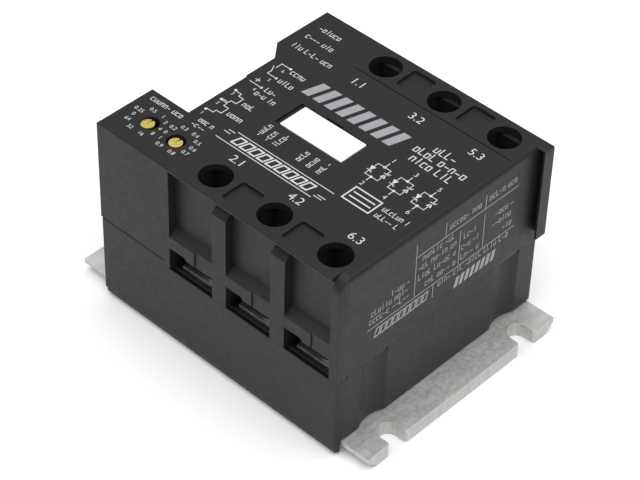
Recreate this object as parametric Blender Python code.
"""A three-phase solid state controller for panel mounting, built as an assembly.

Lengths are written in millimetres and turned into metres where a mesh or a place is made.
The relay's own frame has X across its width, Y from the load terminals at the front to the
line terminals at the back, and Z up from the underside of the metal base plate. Everything
hangs on one empty, which moves the origin under the middle of the plate.
"""

import math

import bmesh
import bpy
from mathutils import Vector

MM = 0.001
GAP = 0.3  # left between pieces that touch
TIGHT_GAP = 0.12  # left where the two shells' seam hardly shows
PAST = 1.0  # how far a cutter reaches past the surface it opens

# Driving dimensions of the body
BODY_WIDTH = 82.6
BODY_DEPTH = 73.0
TOTAL_HEIGHT = 57.7
SIDE_STRIP_WIDTH = 2.4
SIDE_STRIP_DEPTH = 3.6
MIDDLE_Y = BODY_DEPTH / 2

# Metal base plate
PLATE_LEFT = -10.2
PLATE_RIGHT = 91.3
PLATE_FRONT = 2.2
PLATE_BACK = 72.4
PLATE_THICKNESS = 4.2
PLATE_LIP = 1.3
PLATE_UNDERCUT = 3.2
SLOT_HALF_WIDTH = 2.95
SLOT_DEPTH = 6.1
SLOT_CORNER = 0.9
SLOT_YS = (13.0, 61.8)

# Lower shell
BASE_LEFT = 0.35
BASE_RIGHT = 82.4
BASE_BOTTOM = 0.9
BASE_TOP = 25.0
BASE_TOP_LEFT = 26.6
RAISED_TO_X = 23.2
SKIRT_TOP = 2.8
SKIRT_STEP = 0.35
SKIRT_DEPTH = 0.6
SKIRT_CORNER = 1.6
WALL = 2.2
DECK_UNDERSIDE = 17.0
DECK_DEPTH = 11.7
CHANNEL_RADIUS = 9.05
CHANNEL_DEPTH = 1.3

# Upper shell
COVER_SKIN = 2.0
COVER_RIM = 0.5
SIDE_ROUND = 1.4
END_ROUND = 4.2
DIVIDER = DECK_DEPTH + 1.4
BLOCK_DEPTH = 18.8
RECESS_X = 12.9
RECESS_BACK = 49.4
BACK_BLOCK_LEFT = 8.5
STRIP_BOTTOM = 28.9
STRIP_WALL = 0.6
STRIP_GROOVE_DEPTH = 2.4
TAPER_DEPTH = 0.68
TAPER_TOP = 27.8
POST_XS = (26.0, 78.0)
POST_YS = (16.0, 57.0)
POST_RADIUS = 2.0

# Shallow pockets and one long groove in the top
POCKET_HALF_WIDTH = 3.7
POCKET_SPAN = (2.1, 9.75)
POCKET_DEPTH = 0.9
TOP_GROOVE_LOW = (29.5, 60.7)
TOP_GROOVE_HIGH = (81.1, 61.0)
TOP_GROOVE_DEPTH = 0.3

# Terminals: three poles, each with one terminal at the front and one at the back
POLE_PITCH = 19.68
POLES = 3
FIRST_BAY = 25.15
BAY_WIDTH = 14.9
BAY_DEPTH = 2.55
SCREW_FROM_BAY = 9.88
SCREW_Y = 6.52
ACCESS_RADIUS = 4.35
OPENING_TOP = 32.2
TAB_BOTTOM = 31.4
TAB_FROM_BAY = 5.9
STEP_BOTTOM = 31.0
STEP_FROM_BAY = 8.7
STEP_DEPTH = 0.4
BAR_TOP = 35.8
LEDGE_BACK = 37.5
COVE_RADIUS = 4.25
COVE_Y = -1.7
COVE_Z = 52.9

# Terminal metalwork
TERMINAL_FLOOR = 24.2
TERMINAL_WALL = 2.2
LIP_THICKNESS = 0.4
LIP_GROOVE_BACK = 1.25
LIP_GROOVE_BOTTOM = 21.5
BUSBAR_TOP = 26.0
BUSBAR_THICKNESS = 1.3
BUSBAR_FRONT = 2.5
BUSBAR_WIDTH = 12.6
BUSBAR_FOOT_END = 24.0
CLAMP_WIDTH = 9.4
CLAMP_FRONT = 3.6
CLAMP_BACK = 11.2
CLAMP_BOTTOM = 28.0
CLAMP_THICKNESS = 1.5
SCREW_RADIUS = 2.45
SCREW_HEAD_RADIUS = 3.9
SCREW_HEAD_HEIGHT = 3.2
SCREW_LENGTH = 11.0
SCREW_HOLE_RADIUS = 2.8
SCREW_SLOT_WIDTH = 1.2
SCREW_SLOT_DEPTH = 1.4
NUT_SIDE = 8.0
NUT_THICKNESS = 3.8

# Electronics
BOARD_TOP = 48.1
BOARD_THICKNESS = 1.6
BOARD_SLACK = 0.4
TRIMMERS = {"1": (8.9, 8.8), "2": (18.95, 8.65)}
TRIMMER_HOLES = {"1": (9.55, 8.95), "2": (19.05, 8.7)}
TRIMMER_HOLE_RADIUS = 2.55
ROTOR_RADIUS = 1.8
ROTOR_TOP = 57.2
ROTOR_SLOT = 0.55
TRIMMER_SIDE = 6.7
TRIMMER_HEIGHT = 4.9
PIN_PITCH = 3.81
PIN_COUNT = 6
PIN_SIDE = 0.9
HEADER_LENGTH = 25.0
HEADER_FRONT = 13.2
HEADER_BACK = 25.0
HEADER_BOTTOM = 38.0
HEADER_WALL = 0.9
SUBSTRATE_SIZE = (13.6, 33.0, 1.0)
CHIP_SIZE = (9.0, 9.0, 0.4)
CHIP_FROM_MIDDLE = 6.0
GATE_PIN_SIDE = 0.8
CONTROLLER_LOW = (32.0, 42.0)
CONTROLLER_SIZE = (10.0, 10.0, 1.2)
DRIVER_FROM_BAY = 3.0
DRIVER_FRONT = 21.0
DRIVER_SIZE = (8.5, 6.5, 3.5)

# Marking plate, in its pocket in the top
LABEL_LOW = (31.95, 31.45)
LABEL_HIGH = (52.55, 40.55)
LABEL_DEPTH = 0.7
LABEL_THICKNESS = 0.43
LABEL_SUNK = 0.02
LABEL_SLACK = 1.5
LABEL_NOTCH = (38.8, 44.2)


# ---------------------------------------------------------------- materials


def make_material(name, colour, roughness, metallic=0.0):
    material = bpy.data.materials.new(name)
    material.use_nodes = True
    shader = material.node_tree.nodes["Principled BSDF"]
    shader.inputs["Base Color"].default_value = (*colour, 1.0)
    shader.inputs["Roughness"].default_value = roughness
    shader.inputs["Metallic"].default_value = metallic
    return material


def make_materials():
    return {
        "cover": make_material("cover_plastic", (0.045, 0.043, 0.045), 0.55),
        "base": make_material("base_plastic", (0.022, 0.023, 0.026), 0.5),
        "plate": make_material("raw_aluminium", (0.62, 0.62, 0.60), 0.38, 1.0),
        "label": make_material("white_label", (0.85, 0.86, 0.88), 0.45),
        "board": make_material("circuit_board", (0.02, 0.13, 0.06), 0.45),
        "header": make_material("header_plastic", (0.03, 0.16, 0.07), 0.45),
        "tin": make_material("tinned_copper", (0.66, 0.66, 0.63), 0.3, 1.0),
        "nickel": make_material("nickelled_steel", (0.75, 0.74, 0.70), 0.22, 1.0),
        "zinc": make_material("zinced_steel", (0.62, 0.63, 0.64), 0.3, 1.0),
        "brass": make_material("brass", (0.80, 0.58, 0.16), 0.3, 1.0),
        "trimmer": make_material("trimmer_plastic", (0.05, 0.12, 0.35), 0.5),
        "ceramic": make_material("ceramic", (0.82, 0.82, 0.78), 0.6),
        "silicon": make_material("silicon", (0.12, 0.12, 0.15), 0.25, 0.5),
        "chip": make_material("chip_plastic", (0.02, 0.02, 0.02), 0.6),
    }


# ---------------------------------------------------------------- mesh helpers


def arc(centre, radius, start, end, steps):
    """Points along an arc, with angles in degrees."""
    points = []
    for step in range(steps + 1):
        angle = math.radians(start + (end - start) * step / steps)
        points.append((centre[0] + radius * math.cos(angle), centre[1] + radius * math.sin(angle)))
    return points


def add_prism(bm, outline, axis, low, high):
    """Extrudes an outline along an axis. The outline's two numbers are the other axes in X, Y, Z order."""
    others = [number for number in range(3) if number != axis]
    rings = []
    for level in (low, high):
        ring = []
        for first, second in outline:
            point = [0.0, 0.0, 0.0]
            point[others[0]] = first
            point[others[1]] = second
            point[axis] = level
            ring.append(bm.verts.new(Vector(point) * MM))
        rings.append(ring)
    bm.faces.new(rings[0])
    bm.faces.new(rings[1])
    for number in range(len(outline)):
        after = (number + 1) % len(outline)
        bm.faces.new((rings[0][number], rings[0][after], rings[1][after], rings[1][number]))


def add_box(bm, low, high):
    outline = [(low[0], low[1]), (high[0], low[1]), (high[0], high[1]), (low[0], high[1])]
    add_prism(bm, outline, 2, low[2], high[2])


def add_centred_box(bm, centre, bottom, size):
    """A box that stands on the level called bottom, centred on a place in plan."""
    low = (centre[0] - size[0] / 2, centre[1] - size[1] / 2, bottom)
    add_box(bm, low, (low[0] + size[0], low[1] + size[1], bottom + size[2]))


def add_disc(bm, centre, radius, low, high, sides=24):
    """A round pin along Z."""
    outline = arc(centre, radius, 0, 360, sides)[:-1]
    add_prism(bm, outline, 2, low, high)


def add_rounded_box(bm, low, high, radius):
    """A box with its four upright edges rounded."""
    corners = (
        (high[0] - radius, low[1] + radius, -90),
        (high[0] - radius, high[1] - radius, 0),
        (low[0] + radius, high[1] - radius, 90),
        (low[0] + radius, low[1] + radius, 180),
    )
    outline = []
    for x, y, start in corners:
        outline += arc((x, y), radius, start, start + 90, 4)
    add_prism(bm, outline, 2, low[2], high[2])


def finish_object(name, bm, material, frame, place=(0, 0, 0), smooth=False):
    """Turns a bmesh into an object that hangs on the relay's frame."""
    bmesh.ops.recalc_face_normals(bm, faces=bm.faces)
    mesh = bpy.data.meshes.new(name)
    bm.to_mesh(mesh)
    bm.free()
    if material:
        mesh.materials.append(material)
    if smooth:
        mesh.shade_smooth()
        mesh.set_sharp_from_angle(angle=math.radians(35))
    obj = bpy.data.objects.new(name, mesh)
    bpy.context.scene.collection.objects.link(obj)
    obj.parent = frame
    obj.location = Vector(place) * MM
    return obj


def carve(target, name, bm, frame, operation="DIFFERENCE", overlapping=False):
    """Cuts the solids in a bmesh from an object, or joins them to it, with a hidden helper."""
    helper = finish_object(f"{target.name}_{name}", bm, None, frame)
    helper.location = (0, 0, 0)
    helper.hide_render = True
    helper.hide_set(True)
    helper.display_type = "WIRE"
    modifier = target.modifiers.new(name, "BOOLEAN")
    modifier.operation = operation
    modifier.solver = "EXACT"
    modifier.use_self = overlapping
    modifier.object = helper


def bay_lefts():
    return [FIRST_BAY + POLE_PITCH * pole for pole in range(POLES)]


def mirrored(y):
    """The same place counted from the back of the body."""
    return BODY_DEPTH - y


def span(low, high, back):
    """A stretch of Y at the front, or its mirror image at the back, low end first."""
    return (mirrored(high), mirrored(low)) if back else (low, high)


def terminals():
    """Each terminal's name, the left edge of its bay and whether it is at the back."""
    found = []
    for number, left in enumerate(bay_lefts(), start=1):
        found.append((f"load_{number}", left, False))
        found.append((f"line_{number}", left, True))
    return found


def screw_place(left, back):
    return (left + SCREW_FROM_BAY, mirrored(SCREW_Y) if back else SCREW_Y)


# ---------------------------------------------------------------- base plate


def slot_outline(edge, inward, y):
    """An open slot with a round inner end and rounded mouth corners; inward is -1 or 1 along X."""
    mouth = edge - inward * PAST
    corner_x = edge + inward * SLOT_CORNER
    end_x = edge + inward * (SLOT_DEPTH - SLOT_HALF_WIDTH)
    turn = 90 if inward < 0 else -90
    side = SLOT_HALF_WIDTH + SLOT_CORNER
    facing = 0 if inward < 0 else 180
    lower = arc((corner_x, y - side), SLOT_CORNER, facing, facing + turn, 4)
    inner = arc((end_x, y), SLOT_HALF_WIDTH, -90, -90 + 180 * inward, 12)
    upper = arc((corner_x, y + side), SLOT_CORNER, facing - turn, facing, 4)
    return [(mouth, y - side)] + lower + inner + upper + [(mouth, y + side)]


def make_base_plate(materials, frame):
    lip_bottom = PLATE_THICKNESS - PLATE_LIP
    profile = [
        (PLATE_FRONT + PLATE_UNDERCUT, 0),
        (PLATE_BACK - PLATE_UNDERCUT, 0),
        (PLATE_BACK, lip_bottom),
        (PLATE_BACK, PLATE_THICKNESS),
        (PLATE_FRONT, PLATE_THICKNESS),
        (PLATE_FRONT, lip_bottom),
    ]
    bm = bmesh.new()
    add_prism(bm, profile, 0, PLATE_LEFT, PLATE_RIGHT)
    plate = finish_object("base_plate", bm, materials["plate"], frame)
    slots = bmesh.new()
    for y in SLOT_YS:
        for edge, inward in ((PLATE_LEFT, 1), (PLATE_RIGHT, -1)):
            add_prism(slots, slot_outline(edge, inward, y), 2, -PAST, PLATE_THICKNESS + PAST)
    carve(plate, "slots", slots, frame)


# ---------------------------------------------------------------- lower shell


def rounded_front_corner(right):
    """The gentle curve by which the front turns into the right side."""
    return [(right - 0.6, 0), (right - 0.15, 1.6), (right, 3.6)]


def cut_base_outside(base, frame):
    """The lower seam, the place for the plate, the skirt in front of it and the screw channels."""
    outside = bmesh.new()
    right, back = BASE_RIGHT + PAST, BODY_DEPTH + PAST
    add_box(outside, (RAISED_TO_X, -PAST, BASE_TOP), (right, back, BASE_TOP_LEFT + PAST))
    add_box(outside, (-PAST, PLATE_FRONT - GAP, 0), (right, back, PLATE_THICKNESS + GAP))
    lean = (SKIRT_DEPTH - SKIRT_STEP) / (SKIRT_TOP - BASE_BOTTOM)
    low = BASE_BOTTOM - PAST
    skirt = [(-PAST, low), (-PAST, SKIRT_TOP), (SKIRT_STEP, SKIRT_TOP), (SKIRT_DEPTH + lean * PAST, low)]
    add_prism(outside, skirt, 0, -PAST, right + PAST)
    corner_x, corner_y = BASE_RIGHT - SKIRT_CORNER, SKIRT_STEP + SKIRT_CORNER
    corner = arc((corner_x, corner_y), SKIRT_CORNER, -90, 0, 6)
    corner += [(right, corner_y), (right, -PAST), (corner_x, -PAST)]
    add_prism(outside, corner, 2, low, SKIRT_TOP)
    carve(base, "outside", outside, frame, overlapping=True)
    channels = bmesh.new()
    for y in SLOT_YS:
        for wall, out in ((BASE_LEFT, -1), (BASE_RIGHT, 1)):
            centre = (wall + out * (CHANNEL_RADIUS - CHANNEL_DEPTH), y)
            add_disc(channels, centre, CHANNEL_RADIUS, 0, BASE_TOP_LEFT + PAST, 48)
    carve(base, "screw_channels", channels, frame)


def cut_base_inside(base, frame):
    inside = bmesh.new()
    right = BASE_RIGHT - WALL
    back = BODY_DEPTH - WALL
    add_box(inside, (BASE_LEFT + WALL, WALL, 0), (right, back, DECK_UNDERSIDE))
    add_box(inside, (RECESS_X + WALL, DECK_DEPTH, 0), (right, mirrored(DECK_DEPTH), BASE_TOP_LEFT + PAST))
    carve(base, "inside", inside, frame, overlapping=True)
    pockets = bmesh.new()
    half = NUT_SIDE / 2 + GAP
    floor = TERMINAL_FLOOR - NUT_THICKNESS
    for _, left, at_back in terminals():
        front, rear = span(TERMINAL_WALL, DECK_DEPTH + PAST, at_back)
        add_box(pockets, (left, front, TERMINAL_FLOOR), (left + BAY_WIDTH, rear, BASE_TOP_LEFT + PAST))
        x, y = screw_place(left, at_back)
        add_box(pockets, (x - half, y - half, floor), (x + half, y + half, BASE_TOP))
        add_disc(pockets, (x, y), SCREW_HOLE_RADIUS, DECK_UNDERSIDE - PAST, floor + PAST, 12)
    carve(base, "nut_pockets", pockets, frame, overlapping=True)
    grooves = bmesh.new()
    for _, left, at_back in terminals():
        front, rear = span(LIP_THICKNESS, LIP_GROOVE_BACK, at_back)
        add_box(grooves, (left, front, LIP_GROOVE_BOTTOM), (left + BAY_WIDTH, rear, BASE_TOP + PAST))
    carve(base, "lip_grooves", grooves, frame)


def make_base_housing(materials, frame):
    outline = [(BASE_LEFT, 0)] + rounded_front_corner(BASE_RIGHT)
    outline += [(BASE_RIGHT, BODY_DEPTH), (BASE_LEFT, BODY_DEPTH)]
    bm = bmesh.new()
    add_prism(bm, outline, 2, BASE_BOTTOM, BASE_TOP_LEFT)
    base = finish_object("base_housing", bm, materials["base"], frame)
    cut_base_outside(base, frame)
    cut_base_inside(base, frame)


# ---------------------------------------------------------------- upper shell


def cover_outline():
    strip_x = BODY_WIDTH + SIDE_STRIP_WIDTH
    strip_y = BODY_DEPTH - SIDE_STRIP_DEPTH
    outline = [(0, 0)] + rounded_front_corner(BODY_WIDTH)
    outline += [(BODY_WIDTH, strip_y), (strip_x, strip_y), (strip_x, BODY_DEPTH)]
    outline += [(BACK_BLOCK_LEFT, BODY_DEPTH), (BACK_BLOCK_LEFT, RECESS_BACK + 5)]
    outline += [(RECESS_X - 0.4, RECESS_BACK), (RECESS_X - 0.4, RECESS_BACK - 10.2)]
    outline += [(RECESS_X, RECESS_BACK - 10.6), (RECESS_X, BLOCK_DEPTH), (0, BLOCK_DEPTH)]
    return outline


def make_cover_body(materials, frame):
    bm = bmesh.new()
    add_prism(bm, cover_outline(), 2, BASE_TOP + TIGHT_GAP, TOTAL_HEIGHT)
    bmesh.ops.recalc_face_normals(bm, faces=bm.faces)
    rim = [edge for edge in bm.edges if all(vert.co.z > (TOTAL_HEIGHT - 1) * MM for vert in edge.verts)]
    bmesh.ops.bevel(bm, geom=rim, offset=COVER_RIM * MM, segments=3, profile=0.5, affect="EDGES")
    return finish_object("top_cover", bm, materials["cover"], frame)


def cut_cover_inside(cover, frame):
    ceiling = TOTAL_HEIGHT - COVER_SKIN
    floor = BASE_TOP - PAST
    inside = bmesh.new()
    right = BODY_WIDTH - WALL
    add_box(inside, (RECESS_X + WALL, DIVIDER, floor), (right, mirrored(DIVIDER), ceiling))
    block_right = FIRST_BAY - WALL
    block_floor = floor - PAST
    block_ceiling = ceiling - 0.2
    add_box(inside, (WALL, WALL, block_floor), (block_right, BLOCK_DEPTH - WALL, block_ceiling))
    back_block = (BACK_BLOCK_LEFT + WALL, RECESS_BACK + 7, block_floor)
    add_box(inside, back_block, (block_right, BODY_DEPTH - WALL, block_ceiling))
    carve(cover, "inside", inside, frame, overlapping=True)
    chambers = bmesh.new()
    for _, left, back in terminals():
        x, _ = screw_place(left, back)
        front, rear = span(2.0, DECK_DEPTH - 0.2, back)
        add_box(chambers, (left, front, floor), (left + BAY_WIDTH, rear, BAR_TOP - 0.3))
        front, rear = span(3.4, SCREW_Y + ACCESS_RADIUS, back)
        add_box(chambers, (x - ACCESS_RADIUS, front, BAR_TOP - PAST), (x + ACCESS_RADIUS, rear, ceiling))
    carve(cover, "terminal_chambers", chambers, frame, overlapping=True)
    legs = bmesh.new()
    for back in (False, True):
        front, rear = span(DECK_DEPTH - PAST, DIVIDER + PAST, back)
        add_box(legs, (FIRST_BAY - 0.5, front, floor), (right - 0.5, rear, BUSBAR_TOP + 2 * GAP))
    carve(cover, "busbar_gaps", legs, frame)


def cove_points(start, end, steps):
    return arc((COVE_Y, COVE_Z), COVE_RADIUS, start, end, steps)


def cut_cover_bays(cover, frame):
    """The recessed panels between the ribs, with a ledge below and a cove under the top's edge.

    The ribs end in a slope at 45 degrees, which meets the cove above it.
    """
    meeting = (math.sqrt(2 * COVE_RADIUS**2 - COVE_Y**2) + COVE_Y) / 2
    meeting_angle = math.degrees(math.asin(meeting / COVE_RADIUS))
    lip_angle = math.degrees(math.acos((-PAST - COVE_Y) / COVE_RADIUS))
    upper_cove = cove_points(meeting_angle, lip_angle, 5)
    slope = (LEDGE_BACK - BAR_TOP) / BAY_DEPTH
    panel = [(-PAST, BAR_TOP - slope * PAST), (BAY_DEPTH, LEDGE_BACK)] + cove_points(0, meeting_angle, 3)
    panel += [(-PAST, COVE_Z + meeting + 0.3)]
    rib_top = [(-PAST, COVE_Z - PAST)] + upper_cove
    end_wall = bay_lefts()[-1] + BAY_WIDTH
    for back, side in ((False, "front"), (True, "back")):
        tops = bmesh.new()
        add_prism(tops, turned(rib_top, back), 0, FIRST_BAY, end_wall)
        carve(cover, f"{side}_rib_tops", tops, frame)
        recesses = bmesh.new()
        for left in bay_lefts():
            add_prism(recesses, turned(panel, back), 0, left, left + BAY_WIDTH)
        carve(cover, f"{side}_bays", recesses, frame)


def turned(outline, back):
    """A side-view outline, or its mirror image for the back."""
    return [(mirrored(y), z) for y, z in outline] if back else outline


def cut_cover_openings(cover, frame):
    """The cable openings, under a bar with a small tab in its middle; its right half is set back."""
    for back, side in ((False, "front"), (True, "back")):
        openings = bmesh.new()
        low, high = span(-PAST, 2.5, back)
        step_low, step_high = span(-PAST, STEP_DEPTH, back)
        for left in bay_lefts():
            right = left + BAY_WIDTH
            step = left + STEP_FROM_BAY
            tab = left + TAB_FROM_BAY
            outline = [(left, BASE_TOP - PAST), (right, BASE_TOP - PAST)]
            outline += [(right, STEP_BOTTOM), (step, STEP_BOTTOM), (step, TAB_BOTTOM)]
            outline += [(tab, TAB_BOTTOM), (tab - 0.7, OPENING_TOP), (left, OPENING_TOP)]
            add_prism(openings, outline, 1, low, high)
            add_box(openings, (step, step_low, STEP_BOTTOM - 0.5), (right, step_high, BAR_TOP + 1.5))
        carve(cover, f"{side}_openings", openings, frame, overlapping=True)


def cut_cover_edges(cover, frame):
    """The stepped seam, the taper low on the right side, and the strip down its back edge."""
    bottom = BASE_TOP - PAST
    back = BODY_DEPTH + PAST
    edges = bmesh.new()
    add_box(edges, (-PAST, -PAST, bottom), (RAISED_TO_X + TIGHT_GAP, back, BASE_TOP_LEFT + GAP))
    strip_x = BODY_WIDTH + SIDE_STRIP_WIDTH
    strip_y = BODY_DEPTH - SIDE_STRIP_DEPTH
    add_box(edges, (BODY_WIDTH, strip_y - PAST, bottom - PAST), (strip_x + PAST, back, STRIP_BOTTOM))
    outside = BODY_WIDTH + 0.9
    taper = [(BODY_WIDTH - TAPER_DEPTH, bottom), (outside, bottom)]
    taper += [(outside, TAPER_TOP), (BODY_WIDTH, TAPER_TOP)]
    add_prism(edges, taper, 1, -1.5 * PAST, BODY_DEPTH + 1.5 * PAST)
    carve(cover, "edges", edges, frame, overlapping=True)
    groove = bmesh.new()
    low = (BODY_WIDTH, strip_y - PAST, STRIP_BOTTOM - PAST)
    high = (strip_x - STRIP_WALL, strip_y + STRIP_GROOVE_DEPTH, TOTAL_HEIGHT - COVER_RIM)
    add_box(groove, low, high)
    carve(cover, "strip_groove", groove, frame)


def round_over(edge, inward, radius):
    """What a top edge loses where the face at that place curves over into the top."""
    centre = (edge + inward * radius, TOTAL_HEIGHT - radius)
    outside = edge - inward * PAST
    above = [(outside, TOTAL_HEIGHT + PAST), (centre[0], TOTAL_HEIGHT + PAST)]
    return above + arc(centre, radius, 90, 90 + 90 * inward, 8) + [(outside, centre[1])]


def round_cover_edges(cover, frame):
    """The long top edge of the right side, and the front of the wall at the right end."""
    side = bmesh.new()
    strip_y = BODY_DEPTH - SIDE_STRIP_DEPTH
    add_prism(side, round_over(BODY_WIDTH, -1, SIDE_ROUND), 1, -PAST, strip_y)
    carve(cover, "side_round", side, frame)
    end = bmesh.new()
    end_wall = bay_lefts()[-1] + BAY_WIDTH
    add_prism(end, round_over(0, 1, END_ROUND), 0, end_wall, BODY_WIDTH + PAST)
    carve(cover, "end_round", end, frame)


def cut_cover_top(cover, frame):
    top = TOTAL_HEIGHT + PAST
    holes = bmesh.new()
    for _, left, back in terminals():
        add_disc(holes, screw_place(left, back), ACCESS_RADIUS, TOTAL_HEIGHT - COVER_SKIN - 0.5, top, 40)
    for place in TRIMMER_HOLES.values():
        add_disc(holes, place, TRIMMER_HOLE_RADIUS, TOTAL_HEIGHT - 2 * COVER_SKIN, top, 28)
    carve(cover, "round_holes", holes, frame)
    pockets = bmesh.new()
    for left in bay_lefts()[:-1]:
        middle = left + SCREW_FROM_BAY + POLE_PITCH / 2
        for back in (False, True):
            front, rear = span(*POCKET_SPAN, back)
            low = (middle - POCKET_HALF_WIDTH, front, TOTAL_HEIGHT - POCKET_DEPTH)
            add_rounded_box(pockets, low, (middle + POCKET_HALF_WIDTH, rear, top), 0.9)
    low = (LABEL_LOW[0] - LABEL_SLACK, LABEL_LOW[1] - GAP, TOTAL_HEIGHT - LABEL_DEPTH)
    high = (LABEL_HIGH[0] + GAP, LABEL_HIGH[1] + GAP, top)
    add_box(pockets, low, high)
    add_box(pockets, (*TOP_GROOVE_LOW, TOTAL_HEIGHT - TOP_GROOVE_DEPTH), (*TOP_GROOVE_HIGH, top))
    carve(cover, "top_pockets", pockets, frame)
    notch = bmesh.new()
    low = (LABEL_NOTCH[0], LABEL_HIGH[1], TOTAL_HEIGHT - LABEL_DEPTH)
    add_box(notch, low, (LABEL_NOTCH[1], LABEL_HIGH[1] + 0.9, top))
    carve(cover, "label_notch", notch, frame)


def cut_header_window(cover, frame):
    """The hole in the recess's wall through which the control plug reaches its socket."""
    front, rear = header_span()
    low = (RECESS_X - 2 * PAST, front - GAP, HEADER_BOTTOM - GAP)
    high = (RECESS_X + WALL + PAST, rear + GAP, board_bottom())
    window = bmesh.new()
    add_box(window, low, high)
    carve(cover, "header_window", window, frame)


def add_board_posts(cover, frame):
    """Four posts under the skin that hold the circuit board down."""
    posts = bmesh.new()
    for x in POST_XS:
        for y in POST_YS:
            add_disc(posts, (x, y), POST_RADIUS, BOARD_TOP + GAP, TOTAL_HEIGHT - COVER_SKIN + 0.5, 12)
    carve(cover, "board_posts", posts, frame, operation="UNION")


def make_top_cover(materials, frame):
    cover = make_cover_body(materials, frame)
    cut_cover_inside(cover, frame)
    cut_cover_bays(cover, frame)
    cut_cover_openings(cover, frame)
    cut_cover_edges(cover, frame)
    round_cover_edges(cover, frame)
    cut_cover_top(cover, frame)
    cut_header_window(cover, frame)
    add_board_posts(cover, frame)


def make_marking_plate(materials, frame):
    bm = bmesh.new()
    top = TOTAL_HEIGHT - LABEL_SUNK
    low = (*LABEL_LOW, top - LABEL_THICKNESS)
    high = (*LABEL_HIGH, top)
    add_rounded_box(bm, low, high, 0.3)
    finish_object("marking_plate", bm, materials["label"], frame)


# ---------------------------------------------------------------- terminals


def make_busbar(name, left, back, materials, frame):
    """A flat tab under the clamp, a leg down into the shell and a foot on the power substrate."""
    thickness = BUSBAR_THICKNESS
    leg = DECK_DEPTH + GAP
    foot_bottom = PLATE_THICKNESS + GAP + SUBSTRATE_SIZE[2] + GAP
    profile = [
        (BUSBAR_FRONT, BUSBAR_TOP - thickness),
        (leg, BUSBAR_TOP - thickness),
        (leg, foot_bottom),
        (BUSBAR_FOOT_END, foot_bottom),
        (BUSBAR_FOOT_END, foot_bottom + thickness),
        (leg + thickness, foot_bottom + thickness),
        (leg + thickness, BUSBAR_TOP),
        (BUSBAR_FRONT, BUSBAR_TOP),
    ]
    right = left + BAY_WIDTH - GAP
    bm = bmesh.new()
    add_prism(bm, turned(profile, back), 0, right - BUSBAR_WIDTH, right)
    busbar = finish_object(f"busbar_{name}", bm, materials["tin"], frame)
    hole = bmesh.new()
    place = screw_place(left, back)
    add_disc(hole, place, SCREW_HOLE_RADIUS, BUSBAR_TOP - thickness - PAST, BUSBAR_TOP + PAST, 20)
    carve(busbar, "screw_hole", hole, frame)


def make_nut(name, left, back, materials, frame):
    """A square nut, captive in its pocket under the busbar."""
    top = BUSBAR_TOP - BUSBAR_THICKNESS - GAP
    half = NUT_SIDE / 2
    x, y = screw_place(left, back)
    bm = bmesh.new()
    add_box(bm, (-half, -half, top - NUT_THICKNESS), (half, half, top))
    nut = finish_object(f"nut_{name}", bm, materials["zinc"], frame, (x, y, 0))
    hole = bmesh.new()
    add_disc(hole, (x, y), SCREW_HOLE_RADIUS, top - NUT_THICKNESS - PAST, top + PAST, 16)
    carve(nut, "thread", hole, frame)


def make_clamp(name, left, back, materials, frame):
    """The clamp plate under the screw's head, with its edges turned down to grip the wire."""
    x, y = screw_place(left, back)
    front, rear = span(CLAMP_FRONT, CLAMP_BACK, back)
    half = CLAMP_WIDTH / 2
    bm = bmesh.new()
    add_rounded_box(bm, (-half, front - y, 0), (half, rear - y, CLAMP_THICKNESS), 0.8)
    clamp = finish_object(f"clamp_{name}", bm, materials["nickel"], frame, (x, y, CLAMP_BOTTOM))
    hole = bmesh.new()
    top = CLAMP_BOTTOM + CLAMP_THICKNESS + PAST
    add_disc(hole, (x, y), SCREW_HOLE_RADIUS, CLAMP_BOTTOM - PAST, top, 20)
    carve(clamp, "screw_hole", hole, frame)


def make_screw(name, left, back, materials, frame):
    """A slotted cheese-head screw; its origin is on its axis, at the underside of the head."""
    x, y = screw_place(left, back)
    seat = CLAMP_BOTTOM + CLAMP_THICKNESS + 0.2
    shank, head, height = SCREW_RADIUS, SCREW_HEAD_RADIUS, SCREW_HEAD_HEIGHT
    profile = [(0, height), (head - 0.4, height), (head, height - 0.4), (head, 0), (shank, 0)]
    profile += [(shank, 0.5 - SCREW_LENGTH), (shank - 0.5, -SCREW_LENGTH), (0, -SCREW_LENGTH)]
    bm = bmesh.new()
    rows = [bm.verts.new(Vector((radius, 0, z)) * MM) for radius, z in profile]
    edges = [bm.edges.new(pair) for pair in zip(rows, rows[1:])]
    bmesh.ops.spin(bm, geom=rows + edges, axis=(0, 0, 1), cent=(0, 0, 0), angle=math.tau, steps=24)
    bmesh.ops.remove_doubles(bm, verts=bm.verts, dist=0.00001)
    screw = finish_object(f"screw_{name}", bm, materials["zinc"], frame, (x, y, seat), smooth=True)
    slot = bmesh.new()
    top = seat + height
    reach, half = head + PAST, SCREW_SLOT_WIDTH / 2
    add_box(slot, (x - reach, y - half, top - SCREW_SLOT_DEPTH), (x + reach, y + half, top + PAST))
    carve(screw, "slot", slot, frame)


# ---------------------------------------------------------------- power stage


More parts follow.
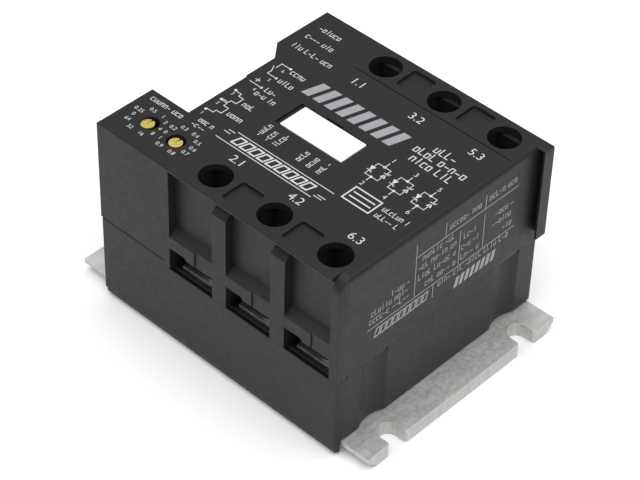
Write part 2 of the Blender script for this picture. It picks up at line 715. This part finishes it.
def make_power_stage(number, left, materials, frame):
    """One pole's ceramic substrate on the plate, with its two thyristor chips and their gate pins."""
    middle = left + BAY_WIDTH - GAP - BUSBAR_WIDTH / 2
    substrate_bottom = PLATE_THICKNESS + GAP
    chip_bottom = substrate_bottom + SUBSTRATE_SIZE[2] + GAP
    pin_bottom = chip_bottom + CHIP_SIZE[2] + GAP
    pin_size = (GATE_PIN_SIDE, GATE_PIN_SIDE, board_bottom() - GAP - pin_bottom)
    bm = bmesh.new()
    add_centred_box(bm, (middle, MIDDLE_Y), substrate_bottom, SUBSTRATE_SIZE)
    finish_object(f"substrate_{number}", bm, materials["ceramic"], frame)
    for letter, side in (("a", -1), ("b", 1)):
        place = (middle, MIDDLE_Y + side * CHIP_FROM_MIDDLE)
        chip = bmesh.new()
        add_centred_box(chip, place, chip_bottom, CHIP_SIZE)
        finish_object(f"thyristor_{number}{letter}", chip, materials["silicon"], frame)
        pin = bmesh.new()
        add_centred_box(pin, place, pin_bottom, pin_size)
        finish_object(f"gate_pin_{number}{letter}", pin, materials["tin"], frame)


# ---------------------------------------------------------------- electronics


def board_bottom():
    return BOARD_TOP - BOARD_THICKNESS


def header_span():
    middle = (BLOCK_DEPTH + RECESS_BACK) / 2
    return (middle - HEADER_LENGTH / 2, middle + HEADER_LENGTH / 2)


def make_control_board(materials, frame):
    """The board fills the shell, with a tongue at the front left that reaches under the trimmers."""
    edge = WALL + BOARD_SLACK
    left = RECESS_X + edge
    right = BODY_WIDTH - edge
    front = DIVIDER + BOARD_SLACK
    back = mirrored(front)
    block_right = FIRST_BAY - edge
    block_back = BLOCK_DEPTH - edge
    outline = [(edge, edge), (block_right, edge), (block_right, front), (right, front)]
    outline += [(right, back), (left, back), (left, block_back), (edge, block_back)]
    bm = bmesh.new()
    add_prism(bm, outline, 2, board_bottom(), BOARD_TOP)
    finish_object("control_board", bm, materials["board"], frame)


def make_board_chips(materials, frame):
    """The controller chip on top of the board, and one gate driver for each pole."""
    bottom = BOARD_TOP + GAP
    places = {"controller_chip": (CONTROLLER_LOW, CONTROLLER_SIZE)}
    for number, left in enumerate(bay_lefts(), start=1):
        places[f"gate_driver_{number}"] = ((left + DRIVER_FROM_BAY, DRIVER_FRONT), DRIVER_SIZE)
    for name, ((x, y), (width, depth, height)) in places.items():
        bm = bmesh.new()
        add_box(bm, (x, y, bottom), (x + width, y + depth, bottom + height))
        finish_object(name, bm, materials["chip"], frame)


def make_trimmer(number, materials, frame):
    """A trimmer's case on the board, and the brass rotor with a crossed slot that turns in it.

    One arm of the cross runs out through the rotor's edge and shows which way it points.
    """
    x, y = TRIMMERS[number]
    bottom = BOARD_TOP + GAP
    case = bmesh.new()
    add_centred_box(case, (x, y), bottom, (TRIMMER_SIDE, TRIMMER_SIDE, TRIMMER_HEIGHT))
    finish_object(f"trimmer_case_{number}", case, materials["trimmer"], frame)
    bottom += TRIMMER_HEIGHT + GAP
    bm = bmesh.new()
    add_disc(bm, (0, 0), ROTOR_RADIUS, 0, ROTOR_TOP - bottom, 24)
    name = f"trimmer_rotor_{number}"
    rotor = finish_object(name, bm, materials["brass"], frame, (x, y, bottom), smooth=True)
    slot = bmesh.new()
    half = ROTOR_SLOT / 2
    top = ROTOR_TOP + PAST
    add_box(slot, (x - half, y - 1.0, ROTOR_TOP - 0.7), (x + half, y + 3.0, top))
    add_box(slot, (x - 1.3, y - half, ROTOR_TOP - 0.5), (x + 1.3, y + half, top))
    carve(rotor, "slot", slot, frame, overlapping=True)


def pin_ys():
    middle = (BLOCK_DEPTH + RECESS_BACK) / 2
    return [middle + (pin - (PIN_COUNT - 1) / 2) * PIN_PITCH for pin in range(PIN_COUNT)]


def pin_level():
    return (HEADER_BOTTOM + board_bottom() - GAP) / 2


def make_control_header(materials, frame):
    """The socket of the control terminals, open towards the recess in the left side."""
    low, high = header_span()
    top = board_bottom() - GAP
    bm = bmesh.new()
    add_box(bm, (HEADER_FRONT, low, HEADER_BOTTOM), (HEADER_BACK, high, top))
    header = finish_object("control_header", bm, materials["header"], frame)
    wall = HEADER_WALL
    hollow = bmesh.new()
    inner_low = (HEADER_FRONT - PAST, low + wall, HEADER_BOTTOM + wall)
    add_box(hollow, inner_low, (HEADER_BACK - 2 * wall, high - wall, top - wall))
    carve(header, "hollow", hollow, frame)
    holes = bmesh.new()
    half = PIN_SIDE / 2 + GAP
    z = pin_level()
    for y in pin_ys():
        hole_low = (HEADER_BACK - 2 * wall - PAST, y - half, z - half)
        add_box(holes, hole_low, (HEADER_BACK + PAST, y + half, z + half))
    carve(header, "pin_holes", holes, frame)


def make_control_pin(number, y, materials, frame):
    """A square pin that runs back through the header and bends up to the board."""
    half = PIN_SIDE / 2
    z = pin_level()
    tip = HEADER_FRONT + 3
    bend = HEADER_BACK + GAP
    outer = bend + PIN_SIDE
    top = board_bottom() - GAP
    profile = [(tip, z - half), (outer, z - half), (outer, top)]
    profile += [(bend, top), (bend, z + half), (tip, z + half)]
    bm = bmesh.new()
    add_prism(bm, profile, 1, y - half, y + half)
    finish_object(f"control_pin_{number}", bm, materials["tin"], frame)


# ---------------------------------------------------------------- assembly


def clear_scene():
    for obj in list(bpy.data.objects):
        bpy.data.objects.remove(obj, do_unlink=True)


def make_frame():
    """The empty that carries the relay, with the plate's underside centred on the origin."""
    frame = bpy.data.objects.new("relay_frame", None)
    bpy.context.scene.collection.objects.link(frame)
    frame.location = Vector((-(PLATE_LEFT + PLATE_RIGHT) / 2, -MIDDLE_Y, 0)) * MM
    return frame


def main():
    clear_scene()
    materials = make_materials()
    frame = make_frame()
    make_base_plate(materials, frame)
    make_base_housing(materials, frame)
    make_top_cover(materials, frame)
    make_marking_plate(materials, frame)
    for name, left, back in terminals():
        make_busbar(name, left, back, materials, frame)
        make_nut(name, left, back, materials, frame)
        make_clamp(name, left, back, materials, frame)
        make_screw(name, left, back, materials, frame)
    for number, left in enumerate(bay_lefts(), start=1):
        make_power_stage(number, left, materials, frame)
    make_control_board(materials, frame)
    make_board_chips(materials, frame)
    for number in TRIMMERS:
        make_trimmer(number, materials, frame)
    make_control_header(materials, frame)
    for number, y in enumerate(pin_ys(), start=1):
        make_control_pin(number, y, materials, frame)


main()
